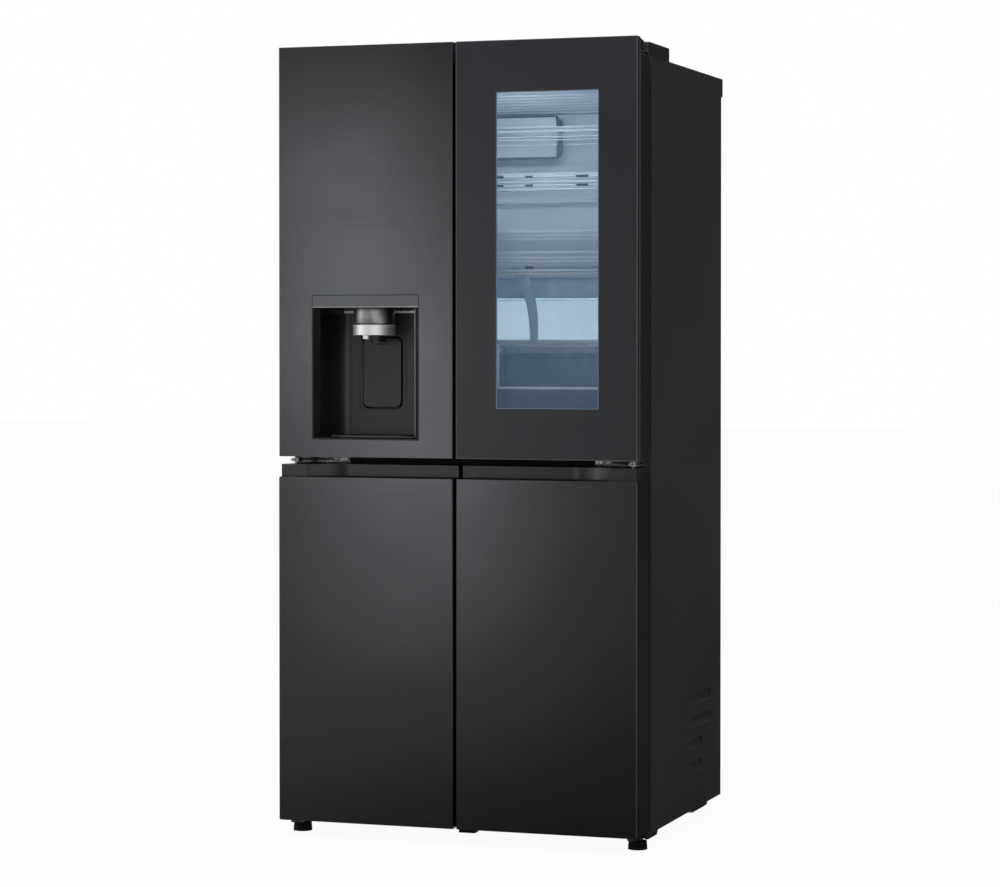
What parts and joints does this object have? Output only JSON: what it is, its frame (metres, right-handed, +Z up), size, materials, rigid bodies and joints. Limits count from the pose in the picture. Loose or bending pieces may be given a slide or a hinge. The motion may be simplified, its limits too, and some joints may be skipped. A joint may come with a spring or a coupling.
{
  "type": "four-door refrigerator",
  "caption": "Tall dark four-door refrigerator: dispenser and window in the upper doors, pocket handles on the freezer doors, shelves, bins and drawers inside.",
  "frame": {"origin": "centre of the object's box, at the floor under the levelling feet", "axes": "+X to the viewer's right, +Y to the back, +Z up"},
  "size_m": [0.835, 0.734, 1.767],
  "materials": {
    "case_paint": "satin",
    "galvanised": "satin",
    "hinge_steel": "satin",
    "black_plastic": "satin",
    "foam": "matte",
    "liner_white": "satin",
    "shelf_glass": "gloss",
    "clear_plastic": "gloss",
    "lamp_lens": "satin",
    "dark_steel": "satin",
    "dark_glass": "gloss",
    "gasket_rubber": "matte",
    "dispenser_black": "satin",
    "header_grey": "satin",
    "chrome_ring": "polished",
    "compressor_black": "gloss",
    "coil_aluminium": "satin",
    "fan_plastic": "satin"
  },
  "bodies": {
    "cabinet": {"back_panel": "galvanised", "base_pan": "galvanised", "bottom_hinges": "hinge_steel", "cabinet_foam": "foam", "ceiling_lamp": "lamp_lens", "centre_mullion": "liner_white", "compressor": "compressor_black", "compressor_mounts": "gasket_rubber", "condenser": "coil_aluminium", "drain_pan": "fan_plastic", "duct_covers": "liner_white", "evaporator": "coil_aluminium", "fan_motors": "compressor_black", "freezer_liners": "liner_white", "fridge_liner": "liner_white", "glass_shelves": "shelf_glass", "hinge_covers": "black_plastic", "left_side_panel": "case_paint", "machine_cover": "galvanised", "middle_hinges": "hinge_steel", "rear_spacers": "black_plastic", "right_side_panel": "case_paint", "top_hinges": "hinge_steel", "top_panel": "case_paint"},
    "upper_left_door": {"upper_left_panel": "dark_steel", "upper_left_core": "liner_white", "upper_left_gasket": "gasket_rubber", "upper_left_bins": "clear_plastic", "dispenser_housing": "dispenser_black", "dispenser_header": "header_grey", "nozzle_body": "dispenser_black", "nozzle_ring": "chrome_ring", "drip_tray": "dispenser_black"},
    "upper_right_door": {"front_glass": "dark_glass", "glass_door_frame": "black_plastic", "upper_right_core": "liner_white", "inner_glass": "shelf_glass", "upper_right_gasket": "gasket_rubber", "upper_right_bins": "clear_plastic"},
    "lower_left_door": {"lower_left_panel": "dark_steel", "lower_left_core": "liner_white", "lower_left_cap": "black_plastic", "lower_left_gasket": "gasket_rubber"},
    "lower_right_door": {"lower_right_panel": "dark_steel", "lower_right_core": "liner_white", "lower_right_cap": "black_plastic", "lower_right_gasket": "gasket_rubber"},
    "lever": {"dispenser_lever": "dispenser_black"},
    "crisper_left": {"crisper_left": "clear_plastic"},
    "crisper_right": {"crisper_right": "clear_plastic"},
    "freezer_drawer_upper_left": {"freezer_drawer_upper_left": "clear_plastic"},
    "freezer_drawer_lower_left": {"freezer_drawer_lower_left": "clear_plastic"},
    "freezer_drawer_upper_right": {"freezer_drawer_upper_right": "clear_plastic"},
    "freezer_drawer_lower_right": {"freezer_drawer_lower_right": "clear_plastic"},
    "foot_left": {"levelling_foot_left": "black_plastic"},
    "foot_right": {"levelling_foot_right": "black_plastic"},
    "roller_left": {"rear_roller_left": "black_plastic"},
    "roller_right": {"rear_roller_right": "black_plastic"},
    "condenser_fan": {"condenser_fan": "fan_plastic"},
    "evaporator_fan": {"evaporator_fan": "fan_plastic"}
  },
  "joints": [
    {"name": "upper_left_door_hinge", "type": "hinge", "parent": "cabinet", "child": "upper_left_door", "pos_m": [-0.3955, -0.317, 1.2], "axis": [0, 0, 1], "range_deg": [-120, 0]},
    {"name": "upper_right_door_hinge", "type": "hinge", "parent": "cabinet", "child": "upper_right_door", "pos_m": [0.3955, -0.317, 1.2], "axis": [0, 0, 1], "range_deg": [0, 120]},
    {"name": "lower_left_door_hinge", "type": "hinge", "parent": "cabinet", "child": "lower_left_door", "pos_m": [-0.3955, -0.317, 0.4], "axis": [0, 0, 1], "range_deg": [-120, 0]},
    {"name": "lower_right_door_hinge", "type": "hinge", "parent": "cabinet", "child": "lower_right_door", "pos_m": [0.3955, -0.317, 0.4], "axis": [0, 0, 1], "range_deg": [0, 120]},
    {"name": "dispenser_lever_pivot", "type": "hinge", "parent": "upper_left_door", "child": "lever", "pos_m": [-0.2105, -0.252, 1.111], "axis": [1, 0, 0], "range_deg": [0, 6], "stiffness_Nm_per_rad": 1.2},
    {"name": "crisper_left_slide", "type": "slide", "parent": "cabinet", "child": "crisper_left", "axis": [0, -1, 0], "range_m": [0, 0.252]},
    {"name": "crisper_right_slide", "type": "slide", "parent": "cabinet", "child": "crisper_right", "axis": [0, -1, 0], "range_m": [0, 0.252]},
    {"name": "freezer_drawer_upper_left_slide", "type": "slide", "parent": "cabinet", "child": "freezer_drawer_upper_left", "axis": [0, -1, 0], "range_m": [0, 0.252]},
    {"name": "freezer_drawer_lower_left_slide", "type": "slide", "parent": "cabinet", "child": "freezer_drawer_lower_left", "axis": [0, -1, 0], "range_m": [0, 0.252]},
    {"name": "freezer_drawer_upper_right_slide", "type": "slide", "parent": "cabinet", "child": "freezer_drawer_upper_right", "axis": [0, -1, 0], "range_m": [0, 0.252]},
    {"name": "freezer_drawer_lower_right_slide", "type": "slide", "parent": "cabinet", "child": "freezer_drawer_lower_right", "axis": [0, -1, 0], "range_m": [0, 0.252]},
    {"name": "foot_left_screw", "type": "hinge", "parent": "cabinet", "child": "foot_left", "pos_m": [-0.3955, -0.283, 0.02], "axis": [0, 0, 1], "continuous": true},
    {"name": "foot_right_screw", "type": "hinge", "parent": "cabinet", "child": "foot_right", "pos_m": [0.3955, -0.283, 0.02], "axis": [0, 0, 1], "continuous": true},
    {"name": "roller_left_axle", "type": "hinge", "parent": "cabinet", "child": "roller_left", "pos_m": [-0.34, 0.19, 0.02], "axis": [1, 0, 0], "continuous": true},
    {"name": "roller_right_axle", "type": "hinge", "parent": "cabinet", "child": "roller_right", "pos_m": [0.34, 0.19, 0.02], "axis": [1, 0, 0], "continuous": true},
    {"name": "condenser_fan_shaft", "type": "hinge", "parent": "cabinet", "child": "condenser_fan", "pos_m": [-0.01, 0.215, 0.14], "axis": [1, 0, 0], "continuous": true},
    {"name": "evaporator_fan_shaft", "type": "hinge", "parent": "cabinet", "child": "evaporator_fan", "pos_m": [0.192, 0.252, 0.69], "axis": [0, 1, 0], "continuous": true}
  ],
  "couplings": [
    {"joint": "crisper_left_slide", "follows": "upper_left_door_hinge", "m_per_rad": -0.12},
    {"joint": "crisper_right_slide", "follows": "upper_right_door_hinge", "m_per_rad": 0.12},
    {"joint": "freezer_drawer_upper_left_slide", "follows": "lower_left_door_hinge", "m_per_rad": -0.12},
    {"joint": "freezer_drawer_lower_left_slide", "follows": "lower_left_door_hinge", "m_per_rad": -0.12},
    {"joint": "freezer_drawer_upper_right_slide", "follows": "lower_right_door_hinge", "m_per_rad": 0.12},
    {"joint": "freezer_drawer_lower_right_slide", "follows": "lower_right_door_hinge", "m_per_rad": 0.12}
  ]
}
